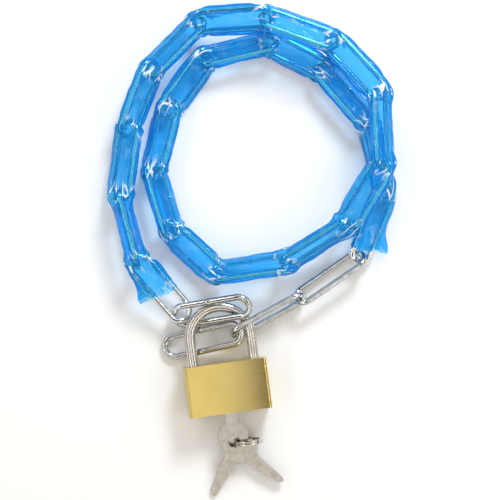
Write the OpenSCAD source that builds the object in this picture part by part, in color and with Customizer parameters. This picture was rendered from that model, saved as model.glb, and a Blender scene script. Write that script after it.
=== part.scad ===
// Chain lock: a small key padlock closing a welded link chain that runs in a clear soft sleeve,
// with its three keys on a split ring. The chain lies in two rounds on a flat surface.
// Millimetres. z = 0 is the surface, and the origin is the middle of the footprint.
// +Y runs from the keys to the far end of the coil.

/* [Padlock] */
// Width of the body
body_w = 38; // [34:0.5:44]
// Height of the body, along the shackle's legs
body_h = 23; // [21:0.5:30]
// Thickness of the body
body_t = 13; // [12:0.5:18]
// Radius of the body's long edges
edge_r = 1.2; // [0.4:0.1:2.5]
// Shackle wire diameter
shackle_d = 4.8; // [4:0.1:5.2]
// Distance between the shackle's legs, centre to centre
leg_span = 28; // [26:0.5:32]
// Lift of the shackle when the lock opens
lift = 11; // [10:0.5:12]

/* [Lock works] */
// Diameter of the turning plug
plug_d = 10; // [9:0.1:11]
// Number of pin stacks
pins = 4; // [3:1:4]
// Distance between pin stacks
pin_pitch = 2.6; // [2.4:0.1:2.8]
// Diameter of the pins
pin_d = 2; // [1.6:0.1:2.1]
// Diameter of the latch bolt
latch_d = 5.9; // [5.2:0.1:6]

/* [Keys] */
// Thickness of a key
key_t = 1.8; // [1.5:0.1:1.9]
// Width of a key's blade
blade_w = 5.6; // [5:0.1:6]
// Diameter of a key's round bow
bow_d = 13.6; // [12:0.1:15]
// Diameter of the hole in the bow
bow_hole_d = 5.4; // [4.5:0.1:5.8]
// Radius of the split ring, to the middle of its wire
ring_r = 6.4; // [6:0.1:7]
// Wire diameter of the split ring
ring_wire = 1.1; // [0.9:0.1:1.2]

/* [Chain and sleeve] */
// Wire diameter of the links
wire_d = 3; // [2.5:0.1:3.1]
// Outer length of a link
link_len = 39.5; // [38.5:0.5:40]
// Outer width of a link
link_w = 12.8; // [12:0.1:13]
// Half width inside the sleeve, across the flat of a link
sleeve_wide = 7.1; // [6.9:0.1:7.3]
// Half width inside the sleeve, over the thin side of a link
sleeve_deep = 4.9; // [4.2:0.1:5.4]
// Half width inside the sleeve where two links meet
sleeve_joint = 7.1; // [7:0.1:7.2]
// Wall thickness of the sleeve
film = 0.45; // [0.3:0.05:0.5]

/* [Hidden] */
// The padlock leans 6 degrees, with its right back edge on the surface.
lock_at = [-25, -62, 8.5];
lean = 6;

// Where the chain runs: the point at which each link takes over from the one before, and how
// far the link is rolled about its own length (left side up is positive).
route = [
  [-14.5, -26, 14, -25], [-40.5, -27, 6, 15], [-58, 0.3, 13, 90], [-62, 31.5, 10, -35],
  [-54, 62, 8, 50], [-41, 86, 9, -45], [-16, 105, 11, 35], [15, 102, 18, -35],
  [43, 88, 16, 35], [61, 62, 19, -55], [58, 29, 21, 30], [38.5, 4.5, 16.5, -60],
  [9, -9, 11, 50], [-23.5, -9.5, 7, -30], [-41, 12, 7, 50], [-45.5, 41, 6, -35],
  [-35, 68, 5.5, 35], [-15, 89, 6, -45], [15, 92, 7, 35], [37, 77, 6, -40],
  [55, 50, 6.5, 60], [58.5, 17, 6.5, -30], [43, -11, 6, 50], [13.5, -26, 6.5, -66],
  [-17.5, -38, 7, -5], [-49, -41, 2, 0]
];
links = len(route) - 1;
knots = [for (r = route) [r[0], r[1], r[2]]];
// The sleeve starts half way along the second link and ends near the foot of this one.
last_sleeved = 21;

top = body_h / 2;
leg_x = leg_span / 2;
bow_y = top + 11.5;
latch_y = 7.4;
latch_travel = 4;
heel_end = -7.6;
heel_floor = -10.3;
heel_pin = [-leg_x + 2.6, 5.8];
plug_top = 3;
groove_y = 1.3;
first_pin = -8.8;
cuts = [2.3, 1.8, 1.3, 0.8];
driver_top = 8.6;
key_tip = 2.2;
bow_c = -22.6;
hole_y = -25.2;
ring_at = [ring_r, -26.3, -1.3];
sides = 12;
// The sleeve's rings on either side of a joint: how far along the link, and their half widths
near = 0.12;
near_wide = 7.3;
near_deep = 6.2;

function link_name(i) = str("link_", i < 10 ? "0" : "", i);
function unit(v) = v / norm(v);
function pin_y(i) = first_pin + (i - 1) * pin_pitch;

// ---- helpers ----

module in_lock() {
  translate(lock_at) rotate([0, lean, 0]) children();
}

// A cylinder along +Y from y0, or along +X from x0
module rod_y(x, y0, y1, d, z = 0) {
  translate([x, y0, z]) rotate([-90, 0, 0]) cylinder(d = d, h = y1 - y0, $fn = 48);
}

module rod_x(x0, x1, y, d) {
  translate([x0, y, 0]) rotate([0, 90, 0]) cylinder(d = d, h = x1 - x0, $fn = 40);
}

// A solid through a list of rings of points: capped at both ends, or closed into a loop
module skin(rings, loop = false) {
  n = len(rings);
  m = len(rings[0]);
  walls = [for (k = [0:n - (loop ? 1 : 2)], j = [0:m - 1], half = [0, 1])
    let (a = k * m + j, b = k * m + (j + 1) % m,
         c = ((k + 1) % n) * m + j, d = ((k + 1) % n) * m + (j + 1) % m)
    half == 0 ? [a, c, b] : [b, c, d]];
  caps = loop ? [] : [[for (j = [0:m - 1]) j], [for (j = [m - 1:-1:0]) (n - 1) * m + j]];
  polyhedron(points = [for (r = rings) each r], faces = concat(walls, caps), convexity = 8);
}

// Rings of a round wire that follows a list of points
function wire(path, d, n) = [for (k = [0:len(path) - 1])
  let (t = unit(path[min(k + 1, len(path) - 1)] - path[max(k - 1, 0)]),
       u = unit(cross(t, [t[2], t[0], t[1]])), v = cross(t, u))
  [for (j = [0:n - 1]) path[k] + d / 2 * (cos(360 * j / n) * u + sin(360 * j / n) * v)]];

// A coil spring standing on z = 0
module spring(d, wire_d, length, turns, per_turn = 12, n = 5) {
  steps = turns * per_turn;
  run = length - wire_d;
  r = (d - wire_d) / 2;
  skin([for (k = [0:steps])
    let (a = 360 * k / per_turn, out = [cos(a), sin(a), 0],
         t = unit([-r * sin(a), r * cos(a), run / turns / 2 / PI]), up = cross(t, out))
    [for (j = [0:n - 1]) r * out + [0, 0, wire_d / 2 + run * k / steps]
      + wire_d / 2 * (cos(360 * j / n) * out - sin(360 * j / n) * up)]]);
}

// ---- padlock ----

function corner(x, z, a) = [for (s = [0:18:90])
  [x + edge_r * cos(a + s), z + edge_r * sin(a + s)]];

module body_bar() {
  w = body_w / 2 - edge_r;
  t = body_t / 2 - edge_r;
  rotate([90, 0, 0]) linear_extrude(height = body_h, center = true)
    polygon(concat(corner(w, t, 0), corner(-w, t, 90), corner(-w, -t, 180), corner(w, -t, 270)));
}

module lock_body() {
  color("gold") in_lock() difference() {
    body_bar();
    rod_y(-leg_x, heel_floor, top + 1, shackle_d + 0.4);
    rod_y(leg_x, 0.8, top + 1, shackle_d + 0.4);
    rod_y(0, -top - 1, plug_top + 0.2, plug_d + 0.1);
    rod_y(0, plug_top, latch_y, 7.8);
    rod_x(-9.5, body_w / 2 + 1, latch_y, latch_d + 0.2);
    for (i = [1:pins]) rod_x(4, body_w / 2 + 1, pin_y(i), pin_d + 0.2);
    translate([heel_pin[0], heel_pin[1], -body_t / 2 - 1]) cylinder(d = 1.6, h = 10.7, $fn = 24);
    translate([-plug_d / 2 - 0.2, groove_y, -body_t / 2 - 1]) cylinder(d = 1.5, h = 10.7, $fn = 24);
  }
}

// Keeps the heel leg in the body when the lock is open
module shackle_pin() {
  color("silver") in_lock()
    translate([heel_pin[0], heel_pin[1], -body_t / 2 + 0.1]) cylinder(d = 1.5, h = 9.4, $fn = 24);
}

// Keeps the plug from being pulled out
module plug_pin() {
  color("silver") in_lock()
    translate([-plug_d / 2 - 0.2, groove_y, -body_t / 2 + 0.1]) cylinder(d = 1.4, h = 9.4, $fn = 24);
}

module shackle() {
  color("silver") in_lock() difference() {
    union() {
      rod_y(-leg_x, heel_end, bow_y, shackle_d);
      rod_y(leg_x, 1, bow_y, shackle_d);
      translate([0, bow_y, 0]) rotate_extrude(angle = 180, $fn = 96)
        translate([leg_x, 0]) circle(d = shackle_d, $fn = 48);
    }
    // flat on the heel leg, and the neck that lets the open shackle swing round
    translate([-leg_x + 1.7, -5.6, -4]) cube([4, 12.4, 8]);
    difference() {
      rod_y(-leg_x, heel_end + 1.4, heel_end + 3.4, shackle_d + 2);
      rod_y(-leg_x, heel_end, heel_end + 4, 3.2);
    }
    // notch that the latch locks into
    translate([leg_x - 4, latch_y - 4, -4]) cube([2.75, 6, 8]);
  }
}

module shackle_spring() {
  color("silver") in_lock() translate([-leg_x, heel_floor + 0.05, 0]) rotate([-90, 0, 0])
    spring(d = 4.6, wire_d = 0.5, length = heel_end - heel_floor - 0.1, turns = 3, n = 6);
}

module latch() {
  color("goldenrod") in_lock() difference() {
    union() {
      rod_x(-3, 9.2, latch_y, latch_d);
      rod_x(9.2, 12, latch_y, 3.2);
      translate([12, latch_y, 0]) rotate([0, 90, 0]) cylinder(d1 = 3.2, d2 = 2, h = 0.6, $fn = 40);
    }
    rod_x(-4, 0, latch_y, 3.8);
    translate([1.1, 4, -4]) cube([1.8, latch_y + 0.1 - 4, 8]);
  }
}

module latch_spring() {
  color("silver") in_lock() translate([-9.45, latch_y, 0]) rotate([0, 90, 0])
    spring(d = 3.5, wire_d = 0.5, length = 9.4, turns = 6, n = 6);
}

module latch_plug() {
  color("gold") in_lock() rod_x(16.9, body_w / 2 - 0.05, latch_y, latch_d + 0.1);
}

module plug() {
  color("goldenrod") in_lock() {
    difference() {
      rod_y(0, -top, plug_top, plug_d);
      difference() {
        rod_y(0, groove_y - 0.8, groove_y + 0.8, plug_d + 2);
        rod_y(0, groove_y - 1, groove_y + 1, plug_d - 1.4);
      }
      translate([-blade_w / 2 - 0.3, -top - 1, -1])
        cube([blade_w + 0.4, top + 1 + key_tip + 0.2, 2]);
      for (i = [1:pins]) rod_x(0.4, plug_d / 2 + 0.2, pin_y(i), pin_d + 0.2);
    }
    // finger that drives the latch
    rod_y(2, plug_top - 0.5, latch_y - 0.2, 1.4, 2);
  }
}

module key_pin(i) {
  color("gold") in_lock() {
    rod_x(cuts[i - 1] + 0.55, 4.85, pin_y(i), pin_d);
    translate([cuts[i - 1] + 0.05, pin_y(i), 0]) rotate([0, 90, 0])
      cylinder(d1 = pin_d - 1.2, d2 = pin_d, h = 0.5, $fn = 40);
  }
}

module driver_pin(i) {
  color("gold") in_lock() rod_x(plug_d / 2 + 0.1, driver_top, pin_y(i), pin_d);
}

module pin_spring(i) {
  color("silver") in_lock() translate([driver_top + 0.05, pin_y(i), 0]) rotate([0, 90, 0])
    spring(d = pin_d - 0.2, wire_d = 0.3, length = 8.3, turns = 9, per_turn = 10, n = 4);
}

module chamber_plug(i) {
  color("gold") in_lock() rod_x(17, body_w / 2 - 0.05, pin_y(i), pin_d + 0.1);
}

// ---- keys ----

// Seen in the lock's own directions: blade up, cuts to the right
module key_shape() {
  h = blade_w / 2;
  difference() {
    union() {
      linear_extrude(height = key_t, center = true) polygon(concat(
        [[-h, -18], [h - 0.1, -18], [h - 0.1, first_pin - 1.5]],
        [for (i = [1:pins]) each [
          [cuts[i - 1], pin_y(i) - 1.1], [cuts[i - 1], pin_y(i) + 1.1]]],
        [[-1.2, key_tip], [-h + 0.6, key_tip], [-h, key_tip - 1]]));
      translate([0, bow_c, 0]) cylinder(d = bow_d, h = key_t, center = true, $fn = 72);
    }
    translate([0, hole_y, 0]) cylinder(d = bow_hole_d, h = 4, center = true, $fn = 48);
    // milled grooves
    translate([-1.9, -13, key_t / 2 - 0.35]) cube([1, 20, 1]);
    translate([-0.6, -13, -key_t / 2 - 0.65]) cube([0.9, 20, 1]);
  }
}

module key_in_lock() {
  color("lightgray") in_lock() key_shape();
}

// A key hanging from the ring: where its hole is, and how far its tip is swung aside
module loose_key(hole, turn) {
  color("lightgray") translate(lock_at + hole) rotate([4, 0, 0]) rotate([0, 0, 180 + turn])
    translate([0, -hole_y, 0]) key_shape();
}

// Two turns side by side: the wire steps across from one to the other on the side away from
// the key in the lock
function step_y(a) = a < 340 ? 0 : a > 380 ? 1 : (a - 340) / 40;

module split_ring() {
  color("silver") translate(lock_at + ring_at)
    skin([for (a = [25:10:695])
      let (out = [cos(a), 0, sin(a)], c = ring_r * out
             + [0, (step_y(a) - 0.5) * (ring_wire + 0.06), 0])
      [for (j = [0:8]) c + ring_wire / 2 * (cos(40 * j) * out + sin(40 * j) * [0, 1, 0])]]);
}

// ---- chain ----

// One link along X, flat in the XY plane
module link_shape() {
  hs = (link_len - link_w) / 2;
  hw = (link_w - wire_d) / 2;
  for (s = [0, 180]) rotate([0, 0, s]) {
    translate([hs, 0, 0]) rotate([0, 0, -90]) rotate_extrude(angle = 180, $fn = 72)
      translate([hw, 0]) circle(d = wire_d, $fn = 32);
    translate([-hs, hw, 0]) rotate([0, 90, 0]) cylinder(d = wire_d, h = 2 * hs, $fn = 32);
  }
}

module chain_link(i) {
  a = knots[i - 1];
  b = knots[i];
  d = b - a;
  color("lightsteelblue") translate((a + b) / 2)
    rotate([0, -asin(d[2] / norm(d)), atan2(d[1], d[0])]) rotate([route[i - 1][3], 0, 0])
      link_shape();
}

// ---- sleeve ----

function along(i) = unit(knots[i] - knots[i - 1]);
function on_link(i, t) = knots[i - 1] + t * (knots[i] - knots[i - 1]);

// An oval of points square to d, its long side rolled like the link in it, and pressed flat
// where it meets the surface
function oval(c, d, wide, deep, roll, wall) = let (h = unit([-d[1], d[0], 0]), v = cross(d, h))
  [for (k = [0:sides - 1])
    let (s = 360 * k / sides, a = wide + wall, b = deep + wall,
         r = a * b / sqrt(pow(b * cos(s - roll), 2) + pow(a * sin(s - roll), 2)),
         p = c + r * (cos(s) * h + sin(s) * v))
    [p[0], p[1], max(p[2], 0.05 + film - wall)]];

// Rings of the tube: round where links meet, flat over the middle of each
function tube(wall) = concat(
  [oval(on_link(2, 0.3) + [-1.4, 0, 0], along(2), 9.6, 5.4, 15, wall)],
  [for (i = [2:last_sleeved + 1], t = [0, near, 0.5, 1 - near]) if (i > 2 || t > 0.5)
    t == 0
      ? oval(knots[i - 1], unit(along(i - 1) + along(i)), sleeve_joint, sleeve_joint, 0, wall)
      : oval(on_link(i, t), along(i), t == 0.5 ? sleeve_wide : near_wide,
             t == 0.5 ? sleeve_deep : near_deep, route[i - 1][3], wall)],
  [oval([46.5, -8.5, 6.8], along(last_sleeved + 1), 9, 5.8, -10, wall)]
);

module sleeve() {
  inside = tube(0);
  n = len(inside);
  color("lightblue", 0.4)
    skin(concat(tube(film), [for (k = [n - 1:-1:0]) inside[k]]), loop = true);
}

// ---- nodes ----

lock_body();
shackle();
shackle_pin();
shackle_spring();
latch();
latch_spring();
latch_plug();
plug();
plug_pin();
for (i = [1:pins]) {
  key_pin(i);
  driver_pin(i);
  pin_spring(i);
  chamber_plug(i);
}
key_in_lock();  // key_1
loose_key([2.4, -26.9, -6], -38);  // key_2
loose_key([0.8, -26.9, -4.05], 40);  // key_3
split_ring();
for (i = [1:links]) chain_link(i);
sleeve();
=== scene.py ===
"""Chain lock: a brass key padlock on a zinc-plated link chain in a thin blue vinyl sleeve.

The CAD nodes carry the metal. The sleeve is made here, as a thin film over the links.
"""
import math
import random

import bmesh
import bpy
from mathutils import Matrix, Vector, noise
from mathutils.bvhtree import BVHTree


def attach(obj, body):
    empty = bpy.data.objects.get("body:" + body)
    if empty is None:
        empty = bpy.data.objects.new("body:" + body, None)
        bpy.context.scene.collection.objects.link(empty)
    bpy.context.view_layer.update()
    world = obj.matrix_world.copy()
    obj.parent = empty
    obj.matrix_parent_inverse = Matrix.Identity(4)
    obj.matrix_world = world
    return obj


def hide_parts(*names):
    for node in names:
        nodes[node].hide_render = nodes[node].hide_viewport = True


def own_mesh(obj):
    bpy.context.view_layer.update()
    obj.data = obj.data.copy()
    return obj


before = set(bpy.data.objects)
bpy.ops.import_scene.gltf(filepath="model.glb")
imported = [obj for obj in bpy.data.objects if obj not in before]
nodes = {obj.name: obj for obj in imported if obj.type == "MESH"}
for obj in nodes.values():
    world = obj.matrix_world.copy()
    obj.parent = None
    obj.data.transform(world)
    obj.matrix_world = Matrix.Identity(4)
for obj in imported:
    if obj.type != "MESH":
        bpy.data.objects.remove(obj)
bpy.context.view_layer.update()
MM = 0.001

# ---- the chain's route, as part.scad has it (mm, roll in degrees) ----

ROUTE = [
    (-14.5, -26, 14, -25), (-40.5, -27, 6, 15), (-58, 0.3, 13, 90), (-62, 31.5, 10, -35),
    (-54, 62, 8, 50), (-41, 86, 9, -45), (-16, 105, 11, 35), (15, 102, 18, -35),
    (43, 88, 16, 35), (61, 62, 19, -55), (58, 29, 21, 30), (38.5, 4.5, 16.5, -60),
    (9, -9, 11, 50), (-23.5, -9.5, 7, -30), (-41, 12, 7, 50), (-45.5, 41, 6, -35),
    (-35, 68, 5.5, 35), (-15, 89, 6, -45), (15, 92, 7, 35), (37, 77, 6, -40),
    (55, 50, 6.5, 60), (58.5, 17, 6.5, -30), (43, -11, 6, 50), (13.5, -26, 6.5, -66),
    (-17.5, -38, 7, -5), (-49, -41, 2, 0),
]
KNOTS = [Vector(r[:3]) * MM for r in ROUTE]
ROLLS = [math.radians(r[3]) for r in ROUTE]
FIRST, LAST = 1, 21  # indices of the first and last link that the sleeve covers
START, STOP = 0.44, 0.86  # where along those two links it begins and ends
PITCH = 33  # mm from one link to the next
LINK_HALF_WIDTH = 4.9 * MM  # from the link's middle to the middle of its wire
LOCK = Vector((-25, -62, 8.5)) * MM  # middle of the padlock's body
CROWN_RADIUS = 0.14  # of the padlock's broad faces, in metres
TENT = (0.98, 0.93, 0.84)
DARK = (0.06, 0.055, 0.05)
BROWN = (0.10, 0.08, 0.06)


def link_axes(i):
    """A link's length direction, its flat's direction and its middle."""
    a, b = KNOTS[i], KNOTS[i + 1]
    d = (b - a).normalized()
    h = Vector((-d.y, d.x, 0)).normalized()
    v = d.cross(h)
    return d, h * math.cos(ROLLS[i]) + v * math.sin(ROLLS[i]), (a + b) / 2


def new_object(name, data):
    """An object for a mesh, a camera or a light, linked into the scene."""
    obj = bpy.data.objects.new(name, data)
    bpy.context.collection.objects.link(obj)
    return obj


def smooth_mesh(name, bm, mat):
    """A smooth-shaded mesh with one material, from a bmesh."""
    bmesh.ops.recalc_face_normals(bm, faces=bm.faces)
    for face in bm.faces:
        face.smooth = True
    mesh = bpy.data.meshes.new(name)
    bm.to_mesh(mesh)
    bm.free()
    mesh.materials.append(mat)
    return mesh


def join_rings(bm, rings):
    """Faces between each ring of vertices and the next."""
    sides = len(rings[0])
    for lower, upper in zip(rings, rings[1:]):
        for k in range(sides):
            after = (k + 1) % sides
            bm.faces.new((lower[k], lower[after], upper[after], upper[k]))


def set_stops(ramp, stops):
    """Gives a colour ramp its stops, each a place and a colour."""
    elements = ramp.color_ramp.elements
    while len(elements) < len(stops):
        elements.new(0.5)
    for element, (at, value) in zip(elements, stops):
        element.position = at
        element.color = (*value, 1)


def multiplied(tree, a, b, share):
    """Colour a multiplied by colour b, as far as share says."""
    mix = tree.nodes.new("ShaderNodeMix")
    mix.data_type = "RGBA"
    mix.blend_type = "MULTIPLY"
    mix.inputs["Factor"].default_value = share
    tree.links.new(a, mix.inputs[6])
    tree.links.new(b, mix.inputs[7])
    return mix.outputs[2]


# ---- camera, floor and light ----

def add_camera():
    """A camera that looks straight down, turned as the photograph is."""
    height = 0.75
    subject_height = 0.008  # of the level at which the view is view_width wide
    view_width = 0.229
    data = bpy.data.cameras.new("camera")
    data.sensor_width = 36
    data.lens = data.sensor_width * (height - subject_height) / view_width
    cam = new_object("camera", data)
    cam.location = (-0.0064, -0.0012, height)
    cam.rotation_euler = (0, 0, math.radians(-7.5))
    bpy.context.scene.camera = cam


def add_floor():
    """A plain pale floor."""
    bpy.ops.mesh.primitive_plane_add(size=6)
    floor = bpy.context.object
    floor.name = "floor"
    mat = bpy.data.materials.new("floor_white")
    mat.use_nodes = True
    bsdf = mat.node_tree.nodes["Principled BSDF"]
    bsdf.inputs["Base Color"].default_value = (0.93, 0.93, 0.94, 1)
    bsdf.inputs["Roughness"].default_value = 0.6
    bsdf.inputs["Specular IOR Level"].default_value = 0.2
    floor.data.materials.append(mat)


def add_light(name, place, size, power, colour=(1, 1, 1)):
    """A rectangular soft light that faces the middle of the scene."""
    data = bpy.data.lights.new(name, "AREA")
    data.shape = "RECTANGLE"
    data.size, data.size_y = size
    data.energy = power
    data.color = colour
    light = new_object(name, data)
    light.location = place
    light.rotation_euler = (-Vector(place)).to_track_quat("-Z", "Y").to_euler()


def add_world():
    """A white tent: dark low down, with a brown gap round it and a dimmer patch near the top."""
    world = bpy.data.worlds.new("studio")
    bpy.context.scene.world = world
    world.use_nodes = True
    tree = world.node_tree
    background = tree.nodes["Background"]
    background.inputs["Strength"].default_value = 1.2
    where = tree.nodes.new("ShaderNodeTexCoord")
    bands = [
        # an axis, and the tint at each cosine of the angle from it
        ((0, 0, 1), ((0.20, DARK), (0.36, TENT), (0.68, TENT),
                     (0.74, BROWN), (0.89, BROWN), (0.94, TENT))),
        ((0.36, -0.08, 0.93), ((0.985, (1, 1, 1)), (0.992, (0.72, 0.76, 0.92)))),
    ]
    colour = None
    for axis, stops in bands:
        dot = tree.nodes.new("ShaderNodeVectorMath")
        dot.operation = "DOT_PRODUCT"
        dot.inputs[1].default_value = Vector(axis).normalized()
        tree.links.new(where.outputs["Generated"], dot.inputs[0])
        ramp = tree.nodes.new("ShaderNodeValToRGB")
        set_stops(ramp, stops)
        tree.links.new(dot.outputs["Value"], ramp.inputs["Fac"])
        tint = ramp.outputs["Color"]
        colour = tint if colour is None else multiplied(tree, colour, tint, 1)
    tree.links.new(colour, background.inputs["Color"])


# ---- materials ----

class Mat:
    """A node material with short calls for the textures used here."""

    def __init__(self, name):
        self.mat = bpy.data.materials.new(name)
        self.mat.use_nodes = True
        self.tree = self.mat.node_tree
        self.bsdf = self.tree.nodes["Principled BSDF"]

    def set(self, **values):
        """Values that are the same all over, on the shader's own sockets."""
        for key, value in values.items():
            socket = self.bsdf.inputs[key.replace("_", " ")]
            socket.default_value = (*value, 1) if isinstance(value, tuple) else value
        return self

    def node(self, kind, **values):
        """A new node with some of its inputs set."""
        made = self.tree.nodes.new(kind)
        for key, value in values.items():
            made.inputs[key.replace("_", " ")].default_value = value
        return made

    def link(self, a, b):
        self.tree.links.new(a, b)

    def coords(self, scale=(1, 1, 1)):
        """The object's own coordinates, in metres, stretched."""
        where = self.tree.nodes.new("ShaderNodeTexCoord")
        mapping = self.node("ShaderNodeMapping", Scale=scale)
        self.link(where.outputs["Object"], mapping.inputs["Vector"])
        return mapping.outputs["Vector"]

    def noise(self, size, detail=3, scale=(1, 1, 1)):
        """Noise whose features are about size metres across."""
        tex = self.node("ShaderNodeTexNoise", Scale=1 / size, Detail=detail)
        self.link(self.coords(scale), tex.inputs["Vector"])
        return tex.outputs["Fac"]

    def ramp(self, fac, *stops):
        """A factor turned into colours, or into greys where a stop is one number."""
        ramp = self.tree.nodes.new("ShaderNodeValToRGB")
        set_stops(ramp, [(at, value if isinstance(value, tuple) else (value,) * 3)
                         for at, value in stops])
        self.link(fac, ramp.inputs["Fac"])
        return ramp.outputs["Color"]

    def span(self, fac, low, high):
        """A factor stretched to run from low to high."""
        made = self.tree.nodes.new("ShaderNodeMapRange")
        made.inputs["To Min"].default_value = low
        made.inputs["To Max"].default_value = high
        self.link(fac, made.inputs["Value"])
        return made.outputs["Result"]

    def math(self, operation, a, b):
        """Two factors put together."""
        made = self.tree.nodes.new("ShaderNodeMath")
        made.operation = operation
        self.link(a, made.inputs[0])
        self.link(b, made.inputs[1])
        return made.outputs["Value"]

    def warped(self, attribute, size, reach):
        """A vertex attribute pushed about by noise, by up to about reach."""
        where = self.tree.nodes.new("ShaderNodeAttribute")
        where.attribute_name = attribute
        tex = self.node("ShaderNodeTexNoise", Scale=1 / size, Detail=2)
        self.link(where.outputs["Vector"], tex.inputs["Vector"])
        push = self.tree.nodes.new("ShaderNodeVectorMath")
        push.operation = "SCALE"
        push.inputs["Scale"].default_value = reach
        self.link(tex.outputs["Color"], push.inputs[0])
        add = self.tree.nodes.new("ShaderNodeVectorMath")
        self.link(where.outputs["Vector"], add.inputs[0])
        self.link(push.outputs["Vector"], add.inputs[1])
        return add.outputs["Vector"]

    def bump(self, height, strength, distance):
        """Relief on the whole material."""
        bump = self.node("ShaderNodeBump", Strength=strength, Distance=distance)
        self.link(height, bump.inputs["Height"])
        self.link(bump.outputs["Normal"], self.bsdf.inputs["Normal"])
        return bump


def brass_body():
    """Brass brushed across the padlock's broad faces."""
    m = Mat("brass_body").set(Metallic=1.0)
    brush = m.noise(0.0006, 4, scale=(0.07, 1, 1))
    tone = m.ramp(m.noise(0.02, 2), (0.3, (0.66, 0.52, 0.18)), (0.7, (0.74, 0.58, 0.22)))
    brushed = multiplied(m.tree, tone, m.ramp(brush, (0.3, 0.72), (0.7, 1.0)), 0.3)
    m.link(brushed, m.bsdf.inputs["Base Color"])
    m.link(m.ramp(brush, (0.3, 0.17), (0.7, 0.26)), m.bsdf.inputs["Roughness"])
    # the broad faces are very slightly crowned across the body
    across = m.tree.nodes.new("ShaderNodeSeparateXYZ")
    place = m.node("ShaderNodeMapping", Location=-LOCK)
    m.link(m.coords(), place.inputs["Vector"])
    m.link(place.outputs["Vector"], across.inputs["Vector"])
    square = m.math("MULTIPLY", across.outputs["X"], across.outputs["X"])
    crown = m.node("ShaderNodeBump", Strength=1.0, Distance=1 / (2 * CROWN_RADIUS))
    crown.invert = True
    m.link(square, crown.inputs["Height"])
    fine = m.bump(brush, 0.25, 0.00004)
    m.link(crown.outputs["Normal"], fine.inputs["Normal"])
    return m.mat


def turned_metal(name, dark, light, rough, grain=0.0004):
    """Finely turned or polished metal, a little uneven in tone."""
    m = Mat(name).set(Metallic=1.0)
    fine = m.noise(grain, 3)
    m.link(m.ramp(m.noise(0.004, 2), (0.3, dark), (0.7, light)), m.bsdf.inputs["Base Color"])
    m.link(m.ramp(fine, (0.3, rough * 0.75), (0.7, rough * 1.3)), m.bsdf.inputs["Roughness"])
    m.bump(fine, 0.08, 0.00002)
    return m.mat


def zinc(name, dark, light):
    """Bright zinc plate: silvery with a cold cast, a little uneven in gloss."""
    m = Mat(name).set(Metallic=1.0)
    patch = m.noise(0.003, 4)
    m.link(m.ramp(patch, (0.3, dark), (0.7, light)), m.bsdf.inputs["Base Color"])
    m.link(m.ramp(patch, (0.3, 0.13), (0.7, 0.05)), m.bsdf.inputs["Roughness"])
    m.bump(m.noise(0.0014, 3), 0.06, 0.00004)
    return m.mat


def key_metal():
    """Nickel-plated key blanks, wiped along their length by machining."""
    m = Mat("key_nickel").set(Metallic=1.0)
    wipe = m.noise(0.0005, 4, scale=(1, 0.08, 1))
    tone = m.ramp(m.noise(0.003, 4), (0.35, (0.40, 0.385, 0.355)), (0.65, (0.50, 0.485, 0.45)))
    m.link(tone, m.bsdf.inputs["Base Color"])
    m.link(m.ramp(wipe, (0.3, 0.09), (0.7, 0.18)), m.bsdf.inputs["Roughness"])
    m.bump(wipe, 0.10, 0.00003)
    return m.mat


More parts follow.
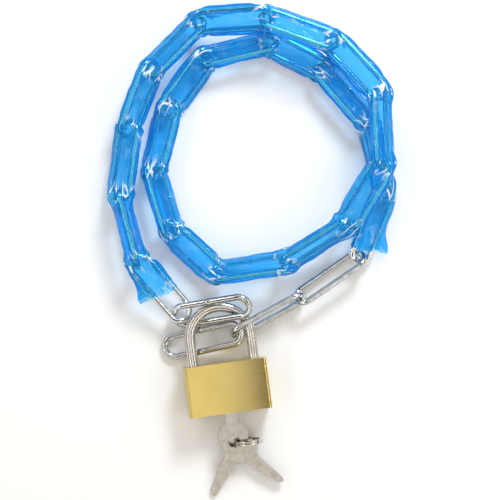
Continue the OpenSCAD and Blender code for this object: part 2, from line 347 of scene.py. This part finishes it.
def film():
    """Thin clear blue vinyl: what is behind it shows through, and white painted highlights lie
    along its folds.
    """
    m = Mat("blue_vinyl_film")
    m.tree.nodes.remove(m.bsdf)
    out = m.tree.nodes["Material Output"]
    # creases between the facets of crumpled film, sharper where links meet; the
    # "unrolled" attribute is in mm round and along the tube
    facet = 4.4
    facets = m.node("ShaderNodeTexVoronoi", Scale=1 / facet)
    edges = m.node("ShaderNodeTexVoronoi", Scale=1 / facet)
    edges.feature = "DISTANCE_TO_EDGE"
    bent = m.warped("unrolled", 5.0, 3.5)
    m.link(bent, facets.inputs["Vector"])
    m.link(bent, edges.inputs["Vector"])
    gathers = m.tree.nodes.new("ShaderNodeAttribute")
    gathers.attribute_name = "gathers"
    # painted highlight: thin white lines along some creases, whitest in the gathers at the joints
    line = m.ramp(edges.outputs["Distance"], (0.03, 1.0), (0.09, 0.0))
    some = m.ramp(m.noise(0.006, 2), (0.48, 0.0), (0.53, 1.0))
    painted_highlight = m.math("MULTIPLY", m.math("MULTIPLY", line, some),
                      m.span(gathers.outputs["Fac"], 0.22, 1.0))
    bump = m.node("ShaderNodeBump", Distance=0.0013)
    m.link(m.span(gathers.outputs["Fac"], 0.30, 0.9), bump.inputs["Strength"])
    m.link(facets.outputs["Distance"], bump.inputs["Height"])
    # the clear part, which is deeper in colour where it is seen edge on
    rim = m.node("ShaderNodeLayerWeight", Blend=0.45)
    uneven = m.math("ADD", rim.outputs["Facing"], m.span(m.noise(0.012, 3), -0.14, 0.14))
    clear = m.node("ShaderNodeBsdfTransparent")
    m.link(m.ramp(uneven, (0.0, (0.35, 0.79, 0.98)), (0.95, (0.05, 0.54, 0.93))),
           clear.inputs["Color"])
    # the glossy part, with painted white highlights along the creases
    gloss = m.node("ShaderNodeBsdfPrincipled", Roughness=0.06, Metallic=0.0, IOR=1.53)
    m.link(m.ramp(painted_highlight, (0.0, (0.02, 0.50, 1.0)), (0.8, (0.95, 1.0, 1.0))),
           gloss.inputs["Base Color"])
    m.link(bump.outputs["Normal"], gloss.inputs["Normal"])
    fresnel = m.node("ShaderNodeFresnel", IOR=1.6)
    m.link(bump.outputs["Normal"], fresnel.inputs["Normal"])
    share = m.math("MAXIMUM", m.span(fresnel.outputs["Fac"], 0.12, 0.9), m.span(painted_highlight, 0.0, 0.9))
    mix = m.node("ShaderNodeMixShader")
    m.link(share, mix.inputs["Fac"])
    m.link(clear.outputs["BSDF"], mix.inputs[1])
    m.link(gloss.outputs["BSDF"], mix.inputs[2])
    # thin film throws only a pale tinted shade
    path = m.node("ShaderNodeLightPath")
    pale = m.node("ShaderNodeBsdfTransparent", Color=(0.80, 0.93, 1.0, 1))
    shade = m.node("ShaderNodeMixShader")
    m.link(path.outputs["Is Shadow Ray"], shade.inputs["Fac"])
    m.link(mix.outputs["Shader"], shade.inputs[1])
    m.link(pale.outputs["BSDF"], shade.inputs[2])
    m.link(shade.outputs["Shader"], out.inputs["Surface"])
    return m.mat


# ---- welds on the links ----

def weld(bm, i):
    """The swelling where a link's wire is butt-welded, in the middle of one long side."""
    d, w, middle = link_axes(i)
    n = d.cross(w)
    centre = middle + w * LINK_HALF_WIDTH * (1 if i % 2 else -1)
    sides = 24
    profile = [  # place along the wire and radius, in mm
        (-1.5, 1.45), (-0.9, 1.6), (-0.35, 1.72), (0, 1.68), (0.35, 1.74), (0.9, 1.6), (1.5, 1.45),
    ]
    rings = []
    for along, radius in profile:
        ring = []
        for angle in (math.tau * k / sides for k in range(sides)):
            out = w * math.cos(angle) + n * math.sin(angle)
            uneven = 1 + 0.02 * math.sin(3 * angle + i)
            ring.append(bm.verts.new(centre + d * along * MM + out * radius * MM * uneven))
        rings.append(ring)
    join_rings(bm, rings)


def add_welds(name, indices, body, mat):
    """The welds of some links, as one piece."""
    bm = bmesh.new()
    for i in indices:
        weld(bm, i)
    obj = new_object(name, smooth_mesh(name, bm, mat))
    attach(obj, body)


# ---- the sleeve ----

def smooth(x):
    """A step from 0 to 1 with soft ends."""
    x = min(max(x, 0.0), 1.0)
    return x * x * (3 - 2 * x)


def fold(x):
    """A triangle wave with sharp crests, 0 to 1."""
    return abs((x % 1.0) * 2 - 1)


def lens(angle, wide, deep, power):
    """The radius of a rounded lens shape at an angle."""
    c, s = abs(math.cos(angle)), abs(math.sin(angle))
    return ((c / wide) ** power + (s / deep) ** power) ** (-1 / power)


def centre_and_direction(i, t):
    """A point on the route, with its corners rounded."""
    a, b = KNOTS[i], KNOTS[i + 1]
    corner = 0.14
    if t < corner and i > FIRST:
        p, q, r = KNOTS[i - 1].lerp(a, 1 - corner), a, a.lerp(b, corner)
        u = 0.5 + t / corner / 2
    elif t > 1 - corner and i < LAST:
        p, q, r = a.lerp(b, 1 - corner), b, b.lerp(KNOTS[i + 2], corner)
        u = (t - 1 + corner) / corner / 2
    else:
        return a.lerp(b, t), (b - a).normalized()
    at = p * (1 - u) ** 2 + q * 2 * u * (1 - u) + r * u * u
    return at, ((q - p) * (1 - u) + (r - q) * u).normalized()


def link_surfaces(near):
    """A tree of a link and its two neighbours, to keep the film off them."""
    verts, faces = [], []
    for i in (near - 1, near, near + 1):
        mesh = nodes["link_%02d" % (i + 1)].data
        base = len(verts)
        verts += [v.co.copy() for v in mesh.vertices]
        faces += [[base + k for k in p.vertices] for p in mesh.polygons]
    return BVHTree.FromPolygons(verts, faces)


def open_end(i, t):
    """How far a ring belongs to one of the tube's open, flattened ends."""
    if i == FIRST:
        return 1 - smooth((t - START) / 0.42)
    return smooth((t - 0.42) / (STOP - 0.42)) if i == LAST else 0.0


def film_ring(i, t, tree, sides):
    """One ring of the tube, and how much each of its points is in the gathers at a joint."""
    at, d = centre_and_direction(i, t)
    h = Vector((-d.y, d.x, 0)).normalized()
    v = d.cross(h)
    opened = open_end(i, t)
    near_joint = 1 - smooth(min(t, 1 - t) / 0.24) if opened < 0.5 else 0.0
    knot = i if t < 0.5 else i + 1
    along = (t if t < 0.5 else t - 1) * PITCH  # mm from the joint
    rng = random.Random(100 + knot)
    count, shear, turn = rng.choice((4, 5, 6)), rng.uniform(-0.10, 0.10), rng.random()
    wobble = noise.noise(Vector((i + t, 3.1, 0)) * 1.3)
    spread, skew, shift = (1.6, -0.075, 2.4) if i == FIRST else (2.2, 0.05, 3.0)
    wide = 7.75 + 0.25 * wobble + spread * opened
    deep = 4.7 - 0.5 * wobble - 1.6 * opened
    skew *= PITCH * opened
    centre = at + h * shift * MM * opened
    ring = []
    for k in range(sides):
        angle = math.tau * k / sides
        flat = lens(angle - ROLLS[i], wide, deep, 1.65)
        joint = 7.0 - 1.5 * fold(count * angle / math.tau + shear * along + turn) ** 1.5
        joint -= 0.5 * fold(2.0 * angle / math.tau - 0.16 * along + 2 * turn)
        r = flat * (1 - near_joint) + joint * near_joint
        # shallow dents and pulls along the flats
        q = Vector((math.cos(angle) * 1.2, math.sin(angle) * 1.2, (i + t) * 3.2))
        r += 0.45 * noise.noise(q) + 0.22 * noise.noise(q * 2.7)
        out = h * math.cos(angle) + v * math.sin(angle)
        p = centre + out * r * MM
        # out to just past the link, where it would cut the film
        length, away, reach = (p - at).length, (p - at).normalized(), (9.5 + 2.5 * opened) * MM
        hit = tree.ray_cast(at + away * reach, -away, reach)
        if hit[0] is not None:
            p = at + away * max(length, reach - hit[3] + 0.22 * MM)
        ragged = 1.2 * noise.noise(Vector((math.cos(angle), math.sin(angle), i)) * 1.9)
        p += d * (-skew * math.cos(angle) + ragged * opened) * MM * opened
        p.z = max(p.z, 0.1 * MM)
        ring.append(p)
    return ring, max(near_joint, 0.3 * opened)


def add_sleeve(mat):
    """The film tube, ring by ring along the chain."""
    sides, per_link = 72, 32
    tube_radius, ring_step = 7, 0.38  # mm, of the evened-out tube that the creases lie on
    rings = []
    for i in range(FIRST, LAST + 1):
        tree = link_surfaces(i)
        low, high = START if i == FIRST else 0.0, STOP if i == LAST else 1.0
        steps = round(per_link * (high - low))
        for s in range(steps + (i == LAST)):
            rings.append(film_ring(i, low + (high - low) * s / steps, tree, sides))
    bm = bmesh.new()
    gathered = bm.verts.layers.float.new("gathers")
    unrolled = bm.verts.layers.float_vector.new("unrolled")
    made = []
    for number, (ring, gathers) in enumerate(rings):
        made.append([bm.verts.new(p) for p in ring])
        for k, vert in enumerate(made[-1]):
            angle = math.tau * k / sides
            vert[gathered] = gathers
            vert[unrolled] = (tube_radius * math.cos(angle), tube_radius * math.sin(angle),
                              ring_step * number)
    join_rings(bm, made)
    obj = new_object("sleeve_film", smooth_mesh("sleeve_film", bm, mat))
    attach(obj, "coil")
    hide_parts("sleeve")


def add_latch_spring(mat):
    """The spring behind the latch, copied from the CAD spring and carried with the lock."""
    mesh = nodes["latch_spring"].data.copy()
    mesh.materials.clear()
    mesh.materials.append(mat)
    obj = new_object("latch_spring_coil", mesh)
    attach(obj, "lock")
    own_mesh(obj)
    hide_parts("latch_spring")


# ---- build ----

def dress(names, mat):
    """Gives CAD nodes a material."""
    for name in names:
        mesh = nodes[name].data
        mesh.materials.clear()
        mesh.materials.append(mat)


add_camera()
add_floor()
add_world()
add_light("key", (0.38, 0.68, 0.60), (0.26, 0.26), 6.6, (0.84, 0.92, 1.0))
add_light("strip_left", (-0.60, 0.10, 0.65), (0.9, 0.02), 0.7)
add_light("strip_right", (0.55, -0.25, 0.70), (0.9, 0.02), 0.7)
bpy.context.scene.view_settings.view_transform = "Standard"

zinc_mat = zinc("zinc_links", (0.48, 0.50, 0.51), (0.68, 0.70, 0.71))
# a lighter copy of the zinc for the links in the sleeve: painted light, to make up for the light
# the film takes from them
sleeve_lit_zinc = zinc("zinc_links_painted_light", (0.72, 0.76, 0.79), (0.90, 0.93, 0.95))
steel = turned_metal("spring_steel", (0.42, 0.42, 0.43), (0.58, 0.58, 0.60), 0.3)
chrome = turned_metal("shackle_chrome", (0.54, 0.52, 0.49), (0.66, 0.64, 0.61), 0.06, 0.0008)
ring_metal = turned_metal("ring_nickel", (0.60, 0.58, 0.55), (0.74, 0.72, 0.70), 0.16)
works = turned_metal("works_brass", (0.62, 0.46, 0.20), (0.76, 0.58, 0.28), 0.28)
covered = ["link_%02d" % (i + 1) for i in range(FIRST, LAST + 1)]
dress([n for n in nodes if n.startswith("link_") and n not in covered], zinc_mat)
# the links in the sleeve, and their welds, take the painted-lighter zinc
dress(covered, sleeve_lit_zinc)
dress([n for n in nodes if "spring" in n or n in ("shackle_pin", "plug_pin")], steel)
dress([n for n in nodes if n.startswith(("key_pin", "driver_pin", "chamber_plug"))]
      + ["latch", "latch_plug", "plug"], works)
dress(["lock_body"], brass_body())
dress(["shackle"], chrome)
dress(["split_ring"], ring_metal)
dress(["key_1", "key_2", "key_3"], key_metal())

add_sleeve(film())
add_latch_spring(steel)
add_welds("welds_coil", range(FIRST, LAST + 1), "coil", sleeve_lit_zinc)
add_welds("weld_end", [0], "end_link", zinc_mat)
for letter, i in zip("abc", (22, 23, 24)):
    add_welds("weld_loop_" + letter, [i], "loop_link_" + letter, zinc_mat)
